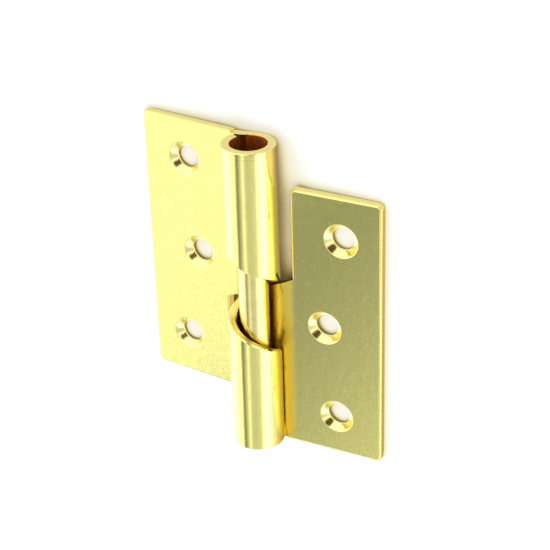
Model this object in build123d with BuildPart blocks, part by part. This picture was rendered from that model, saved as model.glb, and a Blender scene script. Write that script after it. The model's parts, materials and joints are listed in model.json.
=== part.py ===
"""Rising butt hinge, pressed from two like sheet-steel leaves on one round pin.

Each leaf is a flat plate whose inner edge is set back by a gentle bend and rolled round the pin.
The roll's working end is a slanted edge of the flat blank, so on the roll it becomes a helical ramp.
The door leaf is pressed like the frame leaf, with a shorter knuckle, and turned end for end,
and it climbs the frame leaf's ramp as it opens.

Frame: the pin's axis is Z, z = 0 is the frame leaf's bottom edge, X runs out along the frame leaf,
and the countersunk faces look towards -Y. The leaves are shown opened a little past flat.
Lengths are in millimetres and angles in degrees.
"""

import os
from math import asin, atan2, cos, degrees, pi, radians, sin, sqrt

from build123d import *

# Driving dimensions of the pressing
leaf_height = 76.0
leaf_reach = 34.8
sheet_thickness = 2.2
knuckle_diameter = 14.0
leaf_face_offset = 2.65
set_back_bend_radius = 7.9
roll_seam_gap = 0.3
notch_reach = 9.7
knuckle_end_inset = 0.6
corner_radius = 1.5
front_arris_radius = 0.7
back_arris_width = 0.3
ramp_arris_width = 0.4

# Driving dimensions of the ramp
ramp_lead = 20.15
ramp_clearance = 0.4
knuckle_difference = 1.8
closed_step = 2.15
opening_angle = 186.5

# Screw holes: distance from the pin's axis and height above the leaf's bottom edge
screw_holes = [(23.7, 64.0), (18.9, 37.7), (22.1, 11.2)]
screw_hole_diameter = 6.1
countersink_diameter = 9.4
countersink_angle = 90.0

# Driving dimensions of the pin
pin_clearance = 0.85
pin_length = 72.0
pin_bottom_inset = 0.8
pin_chamfer = 0.8

# Room that a cutting shape has beyond the sheet that it cuts
cutter_margin = 0.1
cutter_end_angle = 0.5
rail_steps = 12

# Section of the rolled sheet
knuckle_radius = knuckle_diameter / 2
bore_radius = knuckle_radius - sheet_thickness
roll_radius = knuckle_radius - sheet_thickness / 2
leaf_middle = leaf_face_offset + sheet_thickness / 2
leaf_back = leaf_face_offset + sheet_thickness
bend_y = leaf_middle + set_back_bend_radius
bend_x = sqrt((roll_radius + set_back_bend_radius) ** 2 - bend_y**2)
roll_start = degrees(atan2(bend_y, bend_x))
roll_end = 360 + degrees(asin((leaf_face_offset - roll_seam_gap) / knuckle_radius))
bend_angle = 90 - roll_start
bend_front_radius = set_back_bend_radius + sheet_thickness / 2
bend_back_radius = set_back_bend_radius - sheet_thickness / 2

# The slanted edge: its climb on the roll and on the flat blank, and its height at angle 0
lift_per_degree = ramp_lead / 360
blank_slope = ramp_lead / (2 * pi * roll_radius)
bend_climb = blank_slope * set_back_bend_radius * radians(bend_angle)
ramp_foot_angle = roll_end + cutter_end_angle
ramp_datum = (leaf_height + closed_step + ramp_lead - ramp_clearance) / 2
rest_rise = closed_step + lift_per_degree * opening_angle


def ramp_face(axis, radii, angles, heights):
    """Ruled face between two helices round one upright axis, square across the sheet."""
    rails = []
    for radius in radii:
        points = []
        for step in range(rail_steps + 1):
            share = step / rail_steps
            angle = radians(angles[0] + share * (angles[1] - angles[0]))
            height = heights[0] + share * (heights[1] - heights[0])
            points.append((axis[0] + radius * cos(angle), axis[1] + radius * sin(angle), height))
        rails.append(Edge.make_spline(points))
    return Face.make_surface_from_curves(*rails)


def pressed_leaf(height_at_zero):
    """One leaf, as pressed and rolled, with its ramp at this height where the angle is 0."""
    ramp_foot = height_at_zero - lift_per_degree * ramp_foot_angle
    ramp_at_roll_start = height_at_zero - lift_per_degree * roll_start
    ramp_at_flat = ramp_at_roll_start + bend_climb
    ramp_top = ramp_at_flat + blank_slope * (notch_reach - bend_x)
    roll_ramp = ramp_face(
        axis=(0, 0),
        radii=(bore_radius - cutter_margin, knuckle_radius + cutter_margin),
        angles=(ramp_foot_angle, roll_start),
        heights=(ramp_foot, ramp_at_roll_start),
    )
    bend_ramp = ramp_face(
        axis=(bend_x, bend_y),
        radii=(bend_front_radius + cutter_margin, bend_back_radius - cutter_margin),
        angles=(180 + roll_start, 270),
        heights=(ramp_at_roll_start, ramp_at_flat),
    )
    face_plane = Plane((0, leaf_face_offset, 0), x_dir=(1, 0, 0), z_dir=(0, -1, 0))
    with BuildPart() as leaf:
        # Flat plate, notched beside the other leaf's knuckle down to the slanted edge
        with BuildSketch(face_plane):
            with BuildLine():
                Polyline(
                    (bend_x, 0),
                    (leaf_reach, 0),
                    (leaf_reach, leaf_height),
                    (notch_reach, leaf_height),
                    (notch_reach, ramp_top),
                    (bend_x, ramp_at_flat),
                    close=True,
                )
            make_face()
        extrude(amount=-sheet_thickness)
        corners = leaf.edges().filter_by(Axis.Y)
        free_corners = corners.filter_by_position(Axis.X, leaf_reach, leaf_reach)
        notch_corner = corners.filter_by_position(Axis.X, notch_reach, notch_reach).sort_by(Axis.Z)[-1]
        fillet([*free_corners, notch_corner], radius=corner_radius)
        front_face = leaf.faces().filter_by(Plane.XZ).sort_by(Axis.Y)[0]
        fillet(front_face.outer_wire().edges().sort_by(Axis.X)[-1], radius=front_arris_radius)

        # Set-back bend and roll, a little short of the plate's end and carried up past the slanted edge
        with BuildSketch(Plane.XY.offset(knuckle_end_inset)):
            with BuildLine():
                bend_front = CenterArc((bend_x, bend_y), bend_front_radius, 270, -bend_angle)
                CenterArc((0, 0), bore_radius, roll_start, roll_end - roll_start)
                free_end = Vector(cos(radians(roll_end)), sin(radians(roll_end)))
                Line(free_end * bore_radius, free_end * knuckle_radius)
                CenterArc((0, 0), knuckle_radius, roll_end, roll_start - roll_end)
                bend_back = CenterArc((bend_x, bend_y), bend_back_radius, 180 + roll_start, bend_angle)
                Line(bend_back @ 1, bend_front @ 0)
            make_face()
        extrude(amount=ramp_top - knuckle_end_inset)

        # Everything above the slanted edge comes away from the bend and the roll
        extrude(to_extrude=bend_ramp, amount=leaf_height, dir=(0, 0, 1), mode=Mode.SUBTRACT)
        extrude(to_extrude=roll_ramp, amount=leaf_height, dir=(0, 0, 1), mode=Mode.SUBTRACT)
        ramp_edges = leaf.edges().filter_by(GeomType.BSPLINE)
        climbing = ramp_edges.filter_by(lambda edge: abs((edge @ 1).Z - (edge @ 0).Z) > cutter_margin)
        chamfer(climbing, length=ramp_arris_width)
        back_face = leaf.faces().filter_by(Plane.XZ).sort_by(Axis.Y)[-1]
        chamfer(back_face.outer_wire().edges().sort_by(Axis.X)[-1], length=back_arris_width)

        with Locations(Location(face_plane)):
            with Locations(*screw_holes):
                CounterSinkHole(
                    radius=screw_hole_diameter / 2,
                    counter_sink_radius=countersink_diameter / 2,
                    depth=sheet_thickness,
                    counter_sink_angle=countersink_angle,
                )
    return leaf.part


frame_pressing = pressed_leaf(ramp_datum + knuckle_difference / 2)
door_pressing = pressed_leaf(ramp_datum - knuckle_difference / 2)

# Pin, standing in the frame leaf's knuckle
with BuildPart() as hinge_pin:
    with BuildSketch(Plane.XY.offset(pin_bottom_inset)):
        Circle(bore_radius - pin_clearance)
    extrude(amount=pin_length)
    chamfer(hinge_pin.edges().filter_by(GeomType.CIRCLE), length=pin_chamfer)

# Frame leaf, as pressed
with BuildPart() as frame_leaf:
    add(frame_pressing)

# Door leaf, turned end for end, swung open and risen up the ramp
end_for_end = Location((0, 0, leaf_height), (0, 180, 0))
opened = Location((0, 0, rest_rise), (0, 0, 180 - opening_angle))
with BuildPart() as door_leaf:
    add((opened * end_for_end) * door_pressing)

frame_leaf.part.label = "frame_leaf"
door_leaf.part.label = "door_leaf"
hinge_pin.part.label = "hinge_pin"

os.makedirs("parts", exist_ok=True)
export_step(frame_leaf.part, "parts/frame_leaf.step")
export_step(door_leaf.part, "parts/door_leaf.step")
export_step(hinge_pin.part, "parts/hinge_pin.step")
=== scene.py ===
# %% [markdown]
# # A rising butt hinge
# The real hinge is two steel pressings, plated with brass and rolled round one loose pin. Its shape
# comes ready from CAD as a fixed frame. Here it gets softened edges, finishes, light and a camera.
# Every length is in metres in the CAD model's own frame: the pin stands along Z, and the countersunk
# faces of the leaves look towards -Y.

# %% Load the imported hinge
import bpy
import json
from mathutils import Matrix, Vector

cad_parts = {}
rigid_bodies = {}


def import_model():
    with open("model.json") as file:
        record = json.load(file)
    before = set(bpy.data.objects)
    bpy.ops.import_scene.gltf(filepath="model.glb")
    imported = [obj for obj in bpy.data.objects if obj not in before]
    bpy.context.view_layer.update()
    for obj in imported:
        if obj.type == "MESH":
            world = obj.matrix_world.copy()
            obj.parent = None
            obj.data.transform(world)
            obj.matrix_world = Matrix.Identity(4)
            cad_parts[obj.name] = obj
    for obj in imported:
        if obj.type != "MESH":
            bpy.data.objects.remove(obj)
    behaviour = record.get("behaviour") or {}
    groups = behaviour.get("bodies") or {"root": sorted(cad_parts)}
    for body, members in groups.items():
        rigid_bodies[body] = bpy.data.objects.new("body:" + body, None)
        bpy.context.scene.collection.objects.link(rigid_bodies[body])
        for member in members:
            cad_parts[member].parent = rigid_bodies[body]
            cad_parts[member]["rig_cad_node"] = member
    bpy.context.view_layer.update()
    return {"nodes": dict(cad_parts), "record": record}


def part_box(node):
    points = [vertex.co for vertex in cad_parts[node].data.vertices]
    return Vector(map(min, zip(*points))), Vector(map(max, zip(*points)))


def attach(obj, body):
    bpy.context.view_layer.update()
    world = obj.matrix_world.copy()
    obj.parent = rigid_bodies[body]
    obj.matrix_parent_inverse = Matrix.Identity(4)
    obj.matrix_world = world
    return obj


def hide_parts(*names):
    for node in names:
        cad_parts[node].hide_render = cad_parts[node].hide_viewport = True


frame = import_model()

# %% [markdown]
# ## The camera
# The photograph looks down at the hinge from its right. A camera can be placed by eye, or worked out
# from a few corners whose places are known. This one was worked out: two angles, a roll and a distance
# put the leaf corners and the screw holes on their places in the picture.

# %% Camera at the photograph's viewpoint
import math
import bpy
from mathutils import Matrix, Vector

MM = 0.001
view_azimuth = math.radians(27.39)
view_elevation = math.radians(28.99)
view_roll = math.radians(-1.76)
aim_point = Vector((6.32, 0.0, 51.99)) * MM
camera_distance = 422.35 * MM

level = Vector((math.cos(view_azimuth), math.sin(view_azimuth), 0))
towards_camera = Vector((
    math.sin(view_azimuth) * math.cos(view_elevation),
    -math.cos(view_azimuth) * math.cos(view_elevation),
    math.sin(view_elevation),
))
upright = towards_camera.cross(level)
picture_right = math.cos(view_roll) * level + math.sin(view_roll) * upright
picture_up = math.cos(view_roll) * upright - math.sin(view_roll) * level

bpy.ops.object.select_all(action="DESELECT")
bpy.ops.object.camera_add()
camera = bpy.context.active_object
camera.name = "photo_camera"
camera.data.sensor_width = 36.0
camera.data.lens = 107.96
camera.data.clip_start = 0.01
turned = Matrix((picture_right, picture_up, towards_camera)).transposed().to_4x4()
camera.matrix_world = Matrix.Translation(aim_point + towards_camera * camera_distance) @ turned
bpy.context.scene.camera = camera
print("camera at", tuple(round(v, 3) for v in camera.matrix_world.translation))

# %% [markdown]
# ## Where each leaf lies
# The finishes follow the sheet: its faces were polished, its edges were sheared. To tell them apart
# in code we need each leaf's own directions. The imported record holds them, because a mount names the
# leaf's flat back and one more names each screw hole, so nothing is measured a second time here.

# %% Read each leaf's directions from its mounts
mounts = {mount["name"]: mount for mount in frame["record"]["mounts"]}


class Leaf:
    """One leaf's directions, with measures in millimetres of where a point lies on it."""

    def __init__(self, node):
        back = mounts[node + "_back"]
        screws = [mount for name, mount in mounts.items() if name.startswith(node + "_screw")]
        lowest, highest = (corner.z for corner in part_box(node))
        self.front = -Vector(back["axis"]).normalized()
        along = Vector(back["pos_m"])
        along -= self.front * along.dot(self.front)
        along.z = 0
        self.along = along.normalized()
        self.screws = [Vector(screw["pos_m"]) for screw in screws]
        self.end = lowest if node == "frame_leaf" else highest
        self.way_to_ramp = 1 if node == "frame_leaf" else -1

    def out_along(self, point):
        return point.dot(self.along) / MM

    def behind_pin(self, point):
        return -point.dot(self.front) / MM

    def from_end(self, point):
        return abs(point.z - self.end) / MM

    def from_pin(self, point):
        return math.hypot(point.x, point.y) / MM

    def from_screw(self, point):
        gaps = [point - screw for screw in self.screws]
        return min((gap - self.front * gap.dot(self.front)).length for gap in gaps) / MM


leaves = {node: Leaf(node) for node in ("frame_leaf", "door_leaf")}
for node, leaf in leaves.items():
    print(node, "faces", tuple(round(v, 3) for v in leaf.front), "and ends at z =", round(leaf.end, 4))

# %% [markdown]
# ## Shader maths in Python
# Node trees are easier to read as formulas. One small class wraps a socket, so that plain operators
# add Math nodes, and one method adds any other node: first its settings, then its sockets.

# %% A socket that can be calculated with


class Shade:
    """One output in a node tree. Operators on it add Math nodes."""

    def __init__(self, tree, socket=None):
        self.tree = tree
        self.socket = socket

    def add(self, kind, settings, sockets, out=0):
        """Any node, by its type, its settings, and the values or links of its sockets."""
        made = self.tree.nodes.new(kind)
        for name, value in settings.items():
            if name == "stops":
                self.set_stops(made.color_ramp, value)
            else:
                setattr(made, name, value)
        for name, value in sockets.items():
            if isinstance(value, Shade):
                self.tree.links.new(value.socket, made.inputs[name])
            else:
                made.inputs[name].default_value = value
        return Shade(self.tree, made.outputs[out])

    def set_stops(self, ramp, stops):
        while len(ramp.elements) < len(stops):
            ramp.elements.new(1.0)
        for element, (place, colour) in zip(ramp.elements, stops):
            element.position = place
            element.color = colour

    def math(self, operation, *values):
        return self.add("ShaderNodeMath", {"operation": operation}, dict(enumerate(values)))

    def __add__(self, other):
        return self.math("ADD", self, other)

    def __radd__(self, other):
        return self.math("ADD", other, self)

    def __sub__(self, other):
        return self.math("SUBTRACT", self, other)

    def __rsub__(self, other):
        return self.math("SUBTRACT", other, self)

    def __mul__(self, other):
        return self.math("MULTIPLY", self, other)

    def __rmul__(self, other):
        return self.math("MULTIPLY", other, self)

    def __pow__(self, other):
        return self.math("POWER", self, other)

    def __rpow__(self, other):
        return self.math("POWER", other, self)

    def between(self, low, high):
        """0 below low, 1 above high, and a soft step from one to the other."""
        settings = {"interpolation_type": "SMOOTHSTEP"}
        sockets = {"Value": self, "From Min": low, "From Max": high}
        return self.add("ShaderNodeMapRange", settings, sockets)

    def scaled(self, factors):
        """A vector with each part multiplied by its factor."""
        return self.add("ShaderNodeVectorMath", {"operation": "MULTIPLY"}, {0: self, 1: factors})

    def part(self, axis):
        """One part of a vector: X, Y or Z."""
        return self.add("ShaderNodeSeparateXYZ", {}, {0: self}, out=axis)

    def noise(self, per_mm, detail=2.0, roughness=0.5):
        """Noise with about this many spots to the millimetre."""
        sockets = {"Vector": self, "Scale": per_mm, "Detail": detail, "Roughness": roughness}
        return self.add("ShaderNodeTexNoise", {}, sockets)

    def mixed(self, first, second):
        """A colour that goes from first to second as this value goes from 0 to 1."""
        return self.add("ShaderNodeMix", {"data_type": "RGBA"}, {0: self, 6: first, 7: second}, out=2)


print("operators on a socket now add Math nodes")

# %% [markdown]
# ## Starting a finish
# All finishes here are bare metal, so each starts the same way: a fully metallic shader, and object
# coordinates turned into millimetres, so that a pattern's scale can be written as a real size.

# %% A metal shader and coordinates in millimetres


def start_finish(name):
    """A new metal material: the material, its shader, and the place on the hinge in millimetres."""
    material = bpy.data.materials.new(name)
    material.use_nodes = True
    tree = material.node_tree
    shader = tree.nodes["Principled BSDF"]
    shader.inputs["Metallic"].default_value = 1.0
    metres = Shade(tree).add("ShaderNodeTexCoord", {}, {}, out="Object")
    return material, shader, metres.scaled((1 / MM, 1 / MM, 1 / MM))


def wire(shader, **sockets):
    """Links values to the shader's sockets, whose names are written with _ for a space."""
    for name, value in sockets.items():
        value.tree.links.new(value.socket, shader.inputs[name.replace("_", " ")])


def pressed_in(height, depth_mm):
    """A normal from a height between 0 and 1 that stands for this depth."""
    sockets = {"Strength": 1.0, "Distance": depth_mm * MM, "Height": height}
    return height.add("ShaderNodeBump", {}, sockets)


print("a finish starts as bare metal, in millimetres")

# %% [markdown]
# ## Rolled, bent and flat sheet
# One sheet makes the knuckle, the bend beside it and the flat leaf, and each was polished differently.
# Separate materials would show a line where they meet, so the distance from the pin tells one material
# where it is. The frame leaf's bend and the strip beside its seam are rougher, and their deep gold is
# painted shade.

# %% Masks for the parts of the sheet
knuckle_radius_mm = 7.0
seam_strip_mm = (6.45, 6.75)
lower_knuckle_top_mm = (40.0, 42.0)
strip_dull_and_shade = 0.8

sheet_brass, shader, place = start_finish("plated_sheet")
x, y, z = (place.part(axis) for axis in "XYZ")
from_pin = (x * x + y * y) ** 0.5
flat = from_pin.between(knuckle_radius_mm + 0.3, knuckle_radius_mm + 3.0)
off_roll = from_pin.between(knuckle_radius_mm + 0.05, knuckle_radius_mm + 0.3)
near_roll = 1 - from_pin.between(knuckle_radius_mm + 1.2, knuckle_radius_mm + 4.5)
in_bend = off_roll * x.between(-1.0, 1.0) * near_roll
beside_seam = x.between(*seam_strip_mm) * (1 - off_roll) * (1 - z.between(*lower_knuckle_top_mm))
# This mask makes the bend and the seam strip rougher, and carries their painted shade.
dull_and_shaded = place.math("MAXIMUM", in_bend, beside_seam * strip_dull_and_shade)
print("sheet masks have", len(sheet_brass.node_tree.nodes), "nodes")

# %% [markdown]
# ## Plated sheet
# The faces of the pressing carry bright brass plating over polished steel. The knuckle was buffed
# along the pin and stays nearly a mirror, with two fine ring marks near its open end. The flat leaf is
# a little satin, with soft clouds, fine buffing lines and pale specks. Noise of several sizes gives
# all of these, and only small amounts of it, because plating is even.

# %% Brass on the faces of the sheet
PALE_BRASS = (0.97, 0.89, 0.31, 1.0)
DEEP_BRASS = (0.80, 0.725, 0.25, 1.0)
# The deep bend gold is painted shade for darker reflections in the bend and the seam strip.
BEND_SHADE_GOLD = (0.82, 0.62, 0.10, 1.0)
knuckle_rough = 0.12
bend_rough = 0.38
knuckle_inset_mm = 0.6
ring_marks_mm = (0.8, 1.7)
ring_mark_width_mm = 0.22
sheet_tone = 0.38
sheet_relief_mm = 0.012

clouds = place.noise(per_mm=0.35, detail=3.0, roughness=0.6)
buffing = place.scaled((1.0, 1.0, 0.06)).noise(per_mm=4.5, detail=3.0, roughness=0.6)
ripple = place.scaled((1.0, 1.0, 0.3)).noise(per_mm=0.55, detail=2.0)
grit = place.noise(per_mm=3.2, detail=2.0, roughness=0.6)
specks = place.noise(per_mm=2.3, detail=1.0).between(0.71, 0.77)
mottle = place.noise(per_mm=1.3, detail=2.0, roughness=0.6)
tone = (clouds - 0.5) * 0.5 + (buffing - 0.5) * 0.9 + sheet_tone - specks * 0.4
tone = tone + flat * ((mottle - 0.5) * 1.2 + (grit - 0.5) * 0.5)
knuckle_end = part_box("door_leaf")[1].z / MM - knuckle_inset_mm
for depth in ring_marks_mm:
    off_mark = place.math("ABSOLUTE", z - (knuckle_end - depth))
    tone = tone + (1 - off_mark.between(0.0, ring_mark_width_mm)) * (1 - flat) * 0.6
polished = tone.between(0.0, 1.0).mixed(PALE_BRASS, DEEP_BRASS)
# Painted shade: the bend and the seam strip fade into the deep gold.
wire(shader, Base_Color=dull_and_shaded.mixed(polished, BEND_SHADE_GOLD))
rough = knuckle_rough + flat * 0.03 + dull_and_shaded * (bend_rough - knuckle_rough)
wire(shader, Roughness=rough + (clouds - 0.5) * 0.08 + flat * (mottle - 0.5) * 0.1 + specks * 0.25)
relief = ripple * 1.2 + buffing * 0.3 + flat * (mottle * 0.3 + grit * 0.5) - specks * 0.3
wire(shader, Normal=pressed_in(relief, sheet_relief_mm))
print("sheet finish has", len(sheet_brass.node_tree.nodes), "nodes")

# %% [markdown]
# ## The bend behind the pin
# The frame leaf's bend is rough, and its deep gold is painted shade for the darker surroundings that it
# reflects, with brown stains at random. Its faces get a finish of their own, in the gold that the flat
# sheet fades into, so the two meet without a line.

# %% Painted shade in the bend: dull deep gold
BEND_STAIN = (0.50, 0.30, 0.05, 1.0)

# Painted shade: the bend's deep gold stands for the darker surroundings that it reflects.
bend_painted_shade, shader, place = start_finish("dull_bend_painted_shade")
stains = place.scaled((1.0, 1.0, 0.4)).noise(per_mm=0.9, detail=3.0, roughness=0.6)
wire(shader, Base_Color=stains.between(0.45, 0.75).mixed(BEND_SHADE_GOLD, BEND_STAIN))
wire(shader, Roughness=bend_rough + (stains - 0.5) * 0.2)
print("bend finish has", len(bend_painted_shade.node_tree.nodes), "nodes")

# %% [markdown]
# ## Sheared edges
# The blank was cut from sheet, so its edges and the end of the roll are sheared metal under a thinner
# plating: duller, a little browner, with fine lines across the thickness where the tool dragged.
# Noise that is stretched across the sheet makes such lines.

# %% Brass on the sheared edges
EDGE_LIGHT = (0.97, 0.81, 0.30, 1.0)
EDGE_BROWN = (0.88, 0.69, 0.21, 1.0)
edge_rough = 0.24
edge_relief_mm = 0.02

edge_brass, shader, place = start_finish("sheared_edge")
drag = place.scaled((1.0, 0.25, 1.0)).noise(per_mm=3.5, detail=3.0, roughness=0.65)
patches = place.noise(per_mm=0.7, detail=2.0)
tone = drag * 0.6 + patches * 0.6 - 0.1
wire(shader, Base_Color=tone.between(0.1, 0.9).mixed(EDGE_LIGHT, EDGE_BROWN))
wire(shader, Roughness=edge_rough + drag * 0.2)
wire(shader, Normal=pressed_in(drag, edge_relief_mm))
print("edge finish has", len(edge_brass.node_tree.nodes), "nodes")

# %% [markdown]
# ## Countersinks
# A drill with a cone-shaped tip cut each screw seat after rolling, and left rings round the hole.
# The rings need the distance from the hole's own axis, so each leaf's mesh will carry that distance
# as an attribute, and the finish reads it.

# %% Brass in the screw seats
SEAT_LIGHT = (0.96, 0.88, 0.42, 1.0)
SEAT_DEEP = (0.88, 0.72, 0.24, 1.0)
ring_pitch_mm = 0.22
seat_rough = 0.11
seat_relief_mm = 0.004

seat_brass, shader, place = start_finish("countersink")
reach = place.add("ShaderNodeAttribute", {"attribute_name": "from_screw_axis"}, {}, out="Fac")
turning = place.math("SINE", reach * (2 * math.pi / ring_pitch_mm) + place.noise(per_mm=0.6) * 3.0)
scuff = place.noise(per_mm=1.8, detail=3.0, roughness=0.6)
tone = scuff * 0.8 + turning * 0.12 + 0.1
wire(shader, Base_Color=tone.between(0.2, 0.9).mixed(SEAT_LIGHT, SEAT_DEEP))
wire(shader, Roughness=seat_rough + scuff * 0.10)
wire(shader, Normal=pressed_in(turning * 0.25 + scuff, seat_relief_mm))
print("countersink finish has", len(seat_brass.node_tree.nodes), "nodes")

# %% [markdown]
# ## Inside the roll
# Plating hardly reaches the inside of the rolled knuckle. What shows there is thin brass, old grease
# and the bare brown of the steel, so this finish is dark and dull.

# %% Brown inside of the knuckle
BORE_BROWN = (0.62, 0.19, 0.03, 1.0)
BORE_DARK = (0.42, 0.11, 0.015, 1.0)
bore_rough = 0.45

bore_brown, shader, place = start_finish("knuckle_bore")
grease = place.noise(per_mm=0.5, detail=4.0, roughness=0.6)
wire(shader, Base_Color=grease.between(0.35, 0.7).mixed(BORE_BROWN, BORE_DARK))
wire(shader, Roughness=bore_rough + grease * 0.25)
print("bore finish has", len(bore_brown.node_tree.nodes), "nodes")

# %% [markdown]
# ## The slanted edge
# Beside and behind the pin, the frame leaf's slanted edge lies in a narrow corner where shade falls.
# Its dark brown colour is painted shade, mottled at random, and its surface is dull.

# %% Painted shade on the edge in the corner
CORNER_SHADE_BROWN = (0.17, 0.095, 0.02, 1.0)
CORNER_SHADE_DARK = (0.07, 0.035, 0.01, 1.0)
corner_rough = 0.5

# Painted shade: the corner's shadow is painted into this edge's dark brown.
corner_painted_shade, shader, place = start_finish("painted_shade_edge")
shade_mottle = place.noise(per_mm=0.9, detail=3.0, roughness=0.6)
wire(shader, Base_Color=shade_mottle.between(0.3, 0.7).mixed(CORNER_SHADE_BROWN, CORNER_SHADE_DARK))
wire(shader, Roughness=corner_rough + shade_mottle * 0.2)
print("corner finish has", len(corner_painted_shade.node_tree.nodes), "nodes")

# %% [markdown]
# ## The pin's finish
# The pin is drawn round bar with the same plating. Drawing leaves fine straight lines along it, and
# the leaf that turns on it has rubbed a few darker rings.

# %% Brass on the pin
PIN_PALE = (0.93, 0.82, 0.35, 1.0)
PIN_DEEP = (0.84, 0.68, 0.24, 1.0)
pin_rough = 0.12
pin_relief_mm = 0.008

pin_brass, shader, place = start_finish("drawn_pin")
drawn = place.scaled((1.0, 1.0, 0.05)).noise(per_mm=5.0, detail=3.0, roughness=0.65)
worn = place.scaled((0.15, 0.15, 1.0)).noise(per_mm=0.9, detail=3.0, roughness=0.6)
tone = drawn * 0.5 + worn * 0.7 - 0.1
wire(shader, Base_Color=tone.between(0.2, 0.9).mixed(PIN_PALE, PIN_DEEP))
wire(shader, Roughness=pin_rough + drawn * 0.08 + worn * 0.06)
wire(shader, Normal=pressed_in(drawn * 0.5 + worn * 0.5, pin_relief_mm))
print("pin finish has", len(pin_brass.node_tree.nodes), "nodes")

# %% [markdown]
# ## Taking a piece over from CAD
# A CAD node is loose triangles with hard edges. Its shape is right, so it can be copied rather than
# modelled again. The copy is welded, and its flat triangles are joined into clean faces.

# %% Copy and weld
weld_distance = 0.0005 * MM
flat_angle = math.radians(0.4)


def take_over(node, name):
    """A welded copy of a CAD node, ready to be finished."""
    bpy.ops.object.select_all(action="DESELECT")
    source = frame["nodes"][node]
    source.select_set(True)
    bpy.context.view_layer.objects.active = source
    bpy.ops.object.duplicate()
    piece = bpy.context.active_object
    piece.name = name
    piece.data.name = name
    del piece["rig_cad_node"]
    bpy.ops.mesh.customdata_custom_splitnormals_clear()
    bpy.ops.object.mode_set(mode="EDIT")
    bpy.ops.mesh.select_all(action="SELECT")
    bpy.ops.mesh.remove_doubles(threshold=weld_distance)
    bpy.ops.mesh.dissolve_limited(angle_limit=flat_angle)
    bpy.ops.object.mode_set(mode="OBJECT")
    piece.data.materials.clear()
    print(name, "has", len(piece.data.polygons), "faces after welding")
    return piece


print("pieces to take over:", *frame["nodes"])

# %% [markdown]
# ## Breaking an edge
# A real edge is never knife-sharp, and the light that it catches shows where one face ends. A bevel on
# every edge would make spikes where the triangles are small, so it is given only to the sharp edges
# that a test picks. Weighted normals then keep the large faces flat beside the narrow new ones.

# %% Bevel the edges that a test picks
sharp_angle = math.radians(30)
smooth_angle = math.radians(32)


def pick(piece, what):
    """Makes a piece the active one, with nothing on it selected, ready to select its faces or edges."""
    bpy.ops.object.select_all(action="DESELECT")
    piece.select_set(True)
    bpy.context.view_layer.objects.active = piece
    bpy.ops.object.mode_set(mode="EDIT")
    bpy.ops.mesh.select_mode(type=what)
    bpy.ops.mesh.select_all(action="DESELECT")
    bpy.ops.object.mode_set(mode="OBJECT")


def soften(piece, width_mm, chosen, clamp=True):
    """Breaks the sharp edges for which chosen(one end, other end) is true, and smooths the shading."""
    pick(piece, "EDGE")
    bpy.ops.object.mode_set(mode="EDIT")
    bpy.ops.mesh.edges_select_sharp(sharpness=sharp_angle)
    bpy.ops.object.mode_set(mode="OBJECT")
    sharp = {edge.index for edge in piece.data.edges if edge.select}
    pick(piece, "EDGE")
    for edge in piece.data.edges:
        ends = [piece.data.vertices[index].co for index in edge.vertices]
        edge.select = edge.index in sharp and chosen(*ends)
    count = sum(edge.select for edge in piece.data.edges)
    bpy.ops.object.mode_set(mode="EDIT")
    bpy.ops.mesh.bevel(offset=width_mm * MM, segments=2, affect="EDGES", clamp_overlap=clamp)
    bpy.ops.object.mode_set(mode="OBJECT")
    bpy.ops.object.shade_smooth_by_angle(angle=smooth_angle)
    piece.modifiers.new("flat_faces_stay_flat", "WEIGHTED_NORMAL").keep_sharp = True
    bpy.ops.object.modifier_apply(modifier="flat_faces_stay_flat")
    print(piece.name, "has", count, "edges broken and", len(piece.data.polygons), "faces")


print("edges count as sharp from", round(math.degrees(sharp_angle)), "degrees")

# %% [markdown]
# ## Giving faces their finish
# By hand one would select faces in edit mode and press Assign. The same is done here, with the faces
# chosen by where they lie and where they look.

# %% Assign finishes by place and direction


def assign(piece, material, chosen):
    """Puts a material on the faces for which chosen(centre, normal) is true."""
    piece.data.materials.append(material)
    pick(piece, "FACE")
    for face in piece.data.polygons:
        face.select = chosen(face.center, face.normal)
    bpy.ops.object.mode_set(mode="EDIT")
    piece.active_material_index = len(piece.data.materials) - 1
    bpy.ops.object.material_slot_assign()
    bpy.ops.object.mode_set(mode="OBJECT")
    print(piece.name, material.name, sum(face.select for face in piece.data.polygons), "faces")


print("each finish goes to the faces that its test picks")

# %% [markdown]
# ## The kinds of faces on a leaf
# A countersink is known by its distance from a screw's axis, the bore by looking at the pin, and an
# edge by looking up, down or along the leaf. The bend lies just outside the roll, on the leaf's side,
# and the slanted edge lies behind the front and looks towards the other leaf's knuckle. The dot product
# of a face's normal and a direction is 1 where it looks straight that way and 0 where it looks across.

# %% Tests that pick a leaf's faces
bore_radius_mm = 4.8
countersink_radius_mm = 4.7
leaf_face_mm = 2.65
corner_start_mm = -5.0
notch_reach_mm = 9.75
slack_mm = 0.02
wide_slack_mm = 0.1
bend_end_mm = knuckle_radius_mm + 1.0
flat_start_mm = knuckle_radius_mm + 2.0
corner_depth_mm = leaf_face_mm - 0.25


def outward(point, normal):
    """How far a normal points away from the pin, from -1 to 1."""
    return (normal.x * point.x + normal.y * point.y) / math.hypot(point.x, point.y)


def is_seat(leaf, point, normal):
    near_screw = leaf.from_screw(point) < countersink_radius_mm + slack_mm
    return near_screw and abs(normal.dot(leaf.front)) < 0.9


def is_bore(leaf, point, normal):
    return leaf.from_pin(point) < bore_radius_mm + wide_slack_mm and outward(point, normal) < -0.7


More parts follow.
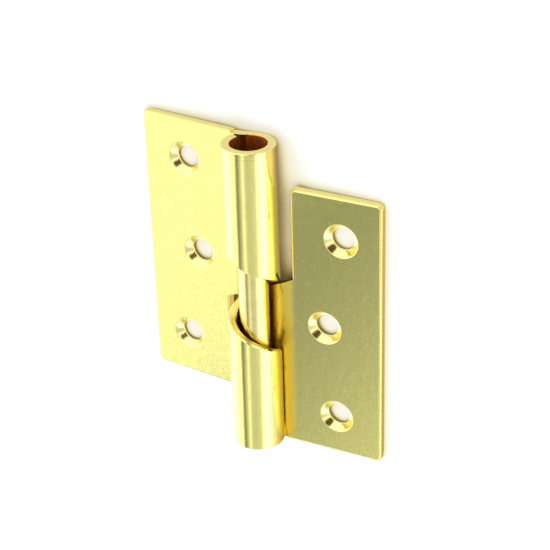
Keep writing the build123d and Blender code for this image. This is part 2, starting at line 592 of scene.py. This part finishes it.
def is_edge(leaf, point, normal):
    if is_seat(leaf, point, normal) or is_bore(leaf, point, normal):
        return False
    on_step = normal.dot(leaf.along) < -0.8 and leaf.from_end(point) < knuckle_inset_mm
    if abs(normal.z) > 0.8 or on_step:
        return True
    if leaf.out_along(point) > flat_start_mm:
        return abs(normal.dot(leaf.front)) < 0.9
    at_seam = leaf.from_pin(point) < knuckle_radius_mm and abs(outward(point, normal)) < 0.5
    return at_seam and normal.dot(leaf.front) < -0.7


def is_bend(leaf, point, normal):
    outside_bore = bore_radius_mm + wide_slack_mm < leaf.from_pin(point) < bend_end_mm
    on_leaf_side = abs(normal.z) < 0.3 and leaf.out_along(point) > 0
    hollow = normal.dot(leaf.front) > 0.2 and outward(point, normal) < 0
    return outside_bore and on_leaf_side and hollow


def is_slanted_edge(leaf, point, normal):
    in_corner = corner_start_mm < leaf.out_along(point) < notch_reach_mm
    behind_face = leaf.behind_pin(point) > corner_depth_mm
    return in_corner and behind_face and normal.z * leaf.way_to_ramp > 0.5


print("kinds of faces on a leaf: seat, bore, edge, bend, slanted edge and plain sheet")

# %% [markdown]
# ## The edges to break on a leaf
# Three kinds of edges are seen closely enough to need it: the rims of the screw seats, the rims of the
# roll at its open end and along its seam, and the small step where the roll's end meets the leaf's end.

# %% Tests that pick a leaf's edges
level_mm = 0.01
rim_slack_mm = 0.05
step_reach_mm = knuckle_radius_mm + 0.6


def is_seat_rim(leaf, one, other):
    return max(leaf.from_screw(one), leaf.from_screw(other)) < countersink_radius_mm + slack_mm


def is_roll_rim(leaf, one, other):
    at_end = max(leaf.from_end(one), leaf.from_end(other)) < knuckle_inset_mm + rim_slack_mm
    along_pin = math.hypot(one.x - other.x, one.y - other.y) / MM < level_mm
    nearest, farthest = sorted((leaf.from_pin(one), leaf.from_pin(other)))
    on_outside = nearest > knuckle_radius_mm - slack_mm and farthest < knuckle_radius_mm + slack_mm
    in_bore = farthest < bore_radius_mm + rim_slack_mm
    return (on_outside and (at_end or along_pin)) or (in_bore and at_end)


def is_step(leaf, one, other):
    at_end = max(leaf.from_end(one), leaf.from_end(other)) < level_mm
    return at_end and max(leaf.out_along(one), leaf.out_along(other)) < step_reach_mm


print("kinds of edges to break: seat rim, roll rim and step")

# %% [markdown]
# ## The two leaves
# Both leaves are pressed alike, so one function finishes either. Only the frame leaf's bend and
# slanted edge lie in the dark corner behind the pin, and only they get painted shade. The roll's rims
# are bevelled without a clamp, because its narrow facets would hold a clamped bevel to almost nothing.

# %% Finish the leaves
from functools import partial

seat_rim_mm = 0.12
roll_rim_mm = 0.25
step_rim_mm = 0.5


def everywhere(point, normal):
    return True


def finish_leaf(node, name):
    """A leaf taken over from CAD, with a finish on each kind of face and its rims broken."""
    leaf = leaves[node]
    piece = take_over(node, name)
    assign(piece, sheet_brass, everywhere)
    assign(piece, edge_brass, partial(is_edge, leaf))
    assign(piece, seat_brass, partial(is_seat, leaf))
    assign(piece, bore_brown, partial(is_bore, leaf))
    # Only the frame leaf gets painted shade, on its slanted edge and its bend.
    if node == "frame_leaf":
        assign(piece, corner_painted_shade, partial(is_slanted_edge, leaf))
        assign(piece, bend_painted_shade, partial(is_bend, leaf))
    soften(piece, seat_rim_mm, partial(is_seat_rim, leaf))
    soften(piece, roll_rim_mm, partial(is_roll_rim, leaf), clamp=False)
    soften(piece, step_rim_mm, partial(is_step, leaf), clamp=False)
    distances = piece.data.attributes.new("from_screw_axis", "FLOAT", "POINT")
    distances.data.foreach_set("value", [leaf.from_screw(vertex.co) for vertex in piece.data.vertices])
    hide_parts(node)
    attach(piece, node)


finish_leaf("frame_leaf", "frame_leaf_pressing")
finish_leaf("door_leaf", "door_leaf_pressing")

# %% [markdown]
# ## The pin
# The pin is a plain rod with chamfered ends, loose in both knuckles. Its rings are all level, so the
# edges to break are those whose two ends lie at one height.

# %% Finish the pin
pin_rim_mm = 0.15

pin = take_over("hinge_pin", "hinge_pin_rod")
assign(pin, pin_brass, everywhere)
soften(pin, pin_rim_mm, lambda one, other: abs(one.z - other.z) / MM < level_mm)
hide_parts("hinge_pin")
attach(pin, "hinge_pin")

# %% [markdown]
# ## The table
# The hinge was photographed lying on a white table, resting on its knuckle and on the outer edges of
# the two leaves. In the hinge's own frame that table stands upright behind it. It is seen by the
# camera alone, and only from its front, so that the hinge can be looked at from behind as well.

# %% White table behind the hinge
table_gap = 0.15 * MM
table_size = 3.0

out_of_table = (leaves["frame_leaf"].front + leaves["door_leaf"].front).normalized()
table_centre = -out_of_table * (knuckle_radius_mm * MM + table_gap) + Vector((0, 0, aim_point.z))
bpy.ops.object.select_all(action="DESELECT")
bpy.ops.mesh.primitive_plane_add(size=table_size)
table = bpy.context.active_object
table.name = "table"
table_turn = out_of_table.to_track_quat("Z", "X").to_matrix().to_4x4()
table.matrix_world = Matrix.Translation(table_centre) @ table_turn
table.visible_diffuse = False
table.visible_glossy = False
table.visible_transmission = False
table.visible_shadow = False
print("table faces", tuple(round(v, 3) for v in out_of_table))

# %% [markdown]
# ## The table's paint
# Little light gets in between the hinge and the table, and most of that has bounced off brass. So the
# white goes over grey and tan to brown. Ambient occlusion tells how open a point of the table lies,
# and a colour ramp turns that into its tone. One share of the paint takes the lamp's light and shadow,
# and the rest shines by itself, which keeps the open table white.

# %% White that turns brown in the gaps
table_tones = [
    (0.00, (0.05, 0.03, 0.005, 1.0)),
    (0.20, (0.23, 0.16, 0.045, 1.0)),
    (0.29, (0.41, 0.33, 0.14, 1.0)),
    (0.37, (0.70, 0.62, 0.39, 1.0)),
    (0.46, (0.82, 0.77, 0.59, 1.0)),
    (0.70, (0.87, 0.85, 0.76, 1.0)),
    (0.85, (0.98, 0.98, 0.95, 1.0)),
    (0.92, (1.0, 1.0, 1.0, 1.0)),
]
gap_reach = 9 * MM
gap_samples = 16
own_light = 1.03
own_share = 0.75

table_paint = bpy.data.materials.new("table_paint")
table_paint.use_nodes = True
tree = table_paint.node_tree
tree.nodes.remove(tree.nodes["Principled BSDF"])
start = Shade(tree)
open_sky = start.add(
    "ShaderNodeAmbientOcclusion", {"samples": gap_samples}, {"Distance": gap_reach}, out="AO"
)
colour = start.add("ShaderNodeValToRGB", {"stops": table_tones}, {"Fac": open_sky})
lit = start.add("ShaderNodeBsdfDiffuse", {}, {"Color": colour})
own = start.add("ShaderNodeEmission", {}, {"Color": colour, "Strength": own_light})
white = start.add("ShaderNodeMixShader", {}, {0: own_share, 1: lit, 2: own})
clear = start.add("ShaderNodeBsdfTransparent", {}, {})
seen_from_behind = start.add("ShaderNodeNewGeometry", {}, {}, out="Backfacing")
shown = start.add("ShaderNodeMixShader", {}, {0: seen_from_behind, 1: white, 2: clear})
tree.links.new(shown.socket, tree.nodes["Material Output"].inputs["Surface"])
table.data.materials.append(table_paint)
print("table paint has", len(tree.nodes), "nodes")

# %% [markdown]
# ## The studio's bands
# Polished metal shows its surroundings more than its own colour. A real product shot puts white
# panels and dark gaps round the object, and so does this world: bands of light round the horizon for
# the upright surfaces, leaning a little as real panels do. Lamps alone would give only small bright
# dots. Each band is an angle round the hinge, 0 in front of it and 90 on its right, and its light.

# %% Bands of light round the horizon
band_stops = [
    (-180, 0.30), (-150, 0.40), (-130, 1.10), (-100, 1.90), (-78, 2.20), (-62, 1.60), (-52, 1.24),
    (-37, 1.22), (-33, 0.28), (-28, 0.28), (-23, 0.41), (-18, 0.60), (-14, 0.77), (-10, 0.92),
    (-5, 1.35), (1, 1.05), (8, 0.70), (25, 0.72), (42, 0.82), (50, 1.00), (58, 2.20),
    (86, 2.20), (96, 1.20), (104, 1.00), (125, 1.05), (136, 0.85), (150, 0.55), (180, 0.30),
]
band_lean = 1.25
band_elevation = -29.0

world = bpy.data.worlds.new("studio")
bpy.context.scene.world = world
world.use_nodes = True
tree = world.node_tree
way = Shade(tree).add("ShaderNodeTexCoord", {}, {}, out="Generated")
forward = way.part("Y") * -1
azimuth = way.math("ARCTAN2", way.part("X"), forward) * math.degrees(1)
elevation = way.math("ARCSINE", way.part("Z")) * math.degrees(1)
below = way.math("MINIMUM", elevation, 0.0)
along_bands = (azimuth - (below - band_elevation) * band_lean + 180) * (1 / 360)
brightest = max(light for angle, light in band_stops)
stops = [((angle + 180) / 360, (light / brightest,) * 3 + (1.0,)) for angle, light in band_stops]
bands = way.add("ShaderNodeValToRGB", {"stops": stops}, {"Fac": along_bands}) * brightest
print("studio has", len(band_stops), "band stops, the brightest", brightest)

# %% [markdown]
# ## The studio's tent and floor
# Above the bands hangs a white tent, brighter in front, with a dark opening for the lens, which the
# screw seats show as a dark spot. Far below, the floor throws back an even light.

# %% Tent with a lens opening, and floor light
tent_front = 1.35
tent_rear = 0.95
tent_turn = (-0.4, 0.3)
tent_rim = (-12.0, 4.0)
floor_light = 1.15
floor_rim = (48.0, 62.0)
lens_azimuth = math.radians(43)
lens_height = math.radians(30)
lens_outer = math.radians(22)
lens_inner = math.radians(16)
lens_darkness = 0.92

lens_way = (
    math.sin(lens_azimuth) * math.cos(lens_height),
    -math.cos(lens_azimuth) * math.cos(lens_height),
    math.sin(lens_height),
)
dot = {"operation": "DOT_PRODUCT"}
towards_lens = way.add("ShaderNodeVectorMath", dot, {0: way, 1: lens_way}, out="Value")
lens_shade = towards_lens.between(math.cos(lens_outer), math.cos(lens_inner))
tent = tent_rear + forward.between(*tent_turn) * (tent_front - tent_rear)
tent = tent * (1 - lens_shade * lens_darkness)
high = elevation.between(*tent_rim)
low = (elevation * -1).between(*floor_rim)
bands = bands + (floor_light - bands) * low
studio_light = bands * (1 - high) + tent * high
print("lens opening towards", tuple(round(v, 2) for v in lens_way))

# %% [markdown]
# ## What each ray sees
# Only the metal's reflections see this studio. The camera sees plain white, and dull surfaces get one
# even light. The walls at the far right and behind are a warmer white than the rest.

# %% Light and hue for each kind of ray
STUDIO_WHITE = (0.95, 1.0, 1.02, 1.0)
STUDIO_WARM = (1.06, 0.84, 0.54, 1.0)
LENS_BROWN = (1.0, 0.62, 0.25, 1.0)
PLAIN_WHITE = (1.0, 1.0, 1.0, 1.0)
plain_light = 0.45
warm_right = (96, 136)
warm_left = (145, 165)

to_camera = way.add("ShaderNodeLightPath", {}, {}, out="Is Camera Ray")
to_gloss = way.add("ShaderNodeLightPath", {}, {}, out="Is Glossy Ray")
unseen = to_gloss * studio_light + (1 - to_gloss) * plain_light
strength = to_camera + (1 - to_camera) * unseen
tree.links.new(strength.socket, tree.nodes["Background"].inputs["Strength"])
warm = (azimuth.between(*warm_right) + (azimuth * -1).between(*warm_left)) * (1 - high)
hue = warm.mixed(STUDIO_WHITE, STUDIO_WARM)
hue = to_gloss.mixed(PLAIN_WHITE, lens_shade.mixed(hue, LENS_BROWN))
tree.links.new(hue.socket, tree.nodes["Background"].inputs["Color"])
print("studio has", len(tree.nodes), "nodes")

# %% [markdown]
# ## The soft lamp
# One large lamp in front of the table gives it soft shadows. The metal doesn't show it,
# because the studio's bands already stand for everything that the metal reflects.

# %% One soft lamp
lamp_place = Vector((0.11, -0.54, 0.03))
lamp_size = 0.35
lamp_watts = 2.9

bpy.ops.object.select_all(action="DESELECT")
bpy.ops.object.light_add(type="AREA", location=lamp_place)
lamp = bpy.context.active_object
lamp.name = "soft_lamp"
lamp.data.size = lamp_size
lamp.data.energy = lamp_watts
lamp.rotation_mode = "QUATERNION"
lamp.rotation_quaternion = (aim_point - lamp_place).to_track_quat("-Z", "Y")
lamp.visible_glossy = False
bpy.context.scene.view_settings.view_transform = "Standard"
print("lamp at", tuple(round(v, 2) for v in lamp_place))

# %% [markdown]
# ## The last cell
# It only imports json.

# %% Import json
import json
